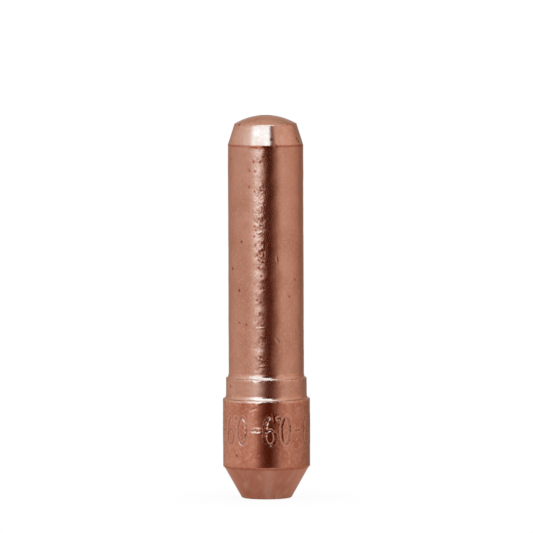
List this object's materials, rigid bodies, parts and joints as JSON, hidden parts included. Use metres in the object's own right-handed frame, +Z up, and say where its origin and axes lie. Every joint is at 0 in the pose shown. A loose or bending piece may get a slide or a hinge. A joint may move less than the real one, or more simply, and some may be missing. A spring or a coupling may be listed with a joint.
{
  "type": "welding contact tip",
  "caption": "Drop-in welding contact tip turned from copper: domed nose, long barrel, stepped collar, clamped head and tapered seat, with a through bore that passes current to the wire.",
  "frame": {"origin": "middle of the flat seat end, which the tip stands on", "axes": "+Z up the wire bore to the domed nose; +X and +Y are free, because the tip is turned"},
  "size_m": [0.008, 0.008, 0.0349],
  "materials": {
    "copper": "bare turned copper, satin, lightly pitted and rubbed"
  },
  "bodies": {
    "root": {"contact_tip": "copper"}
  },
  "joints": []
}
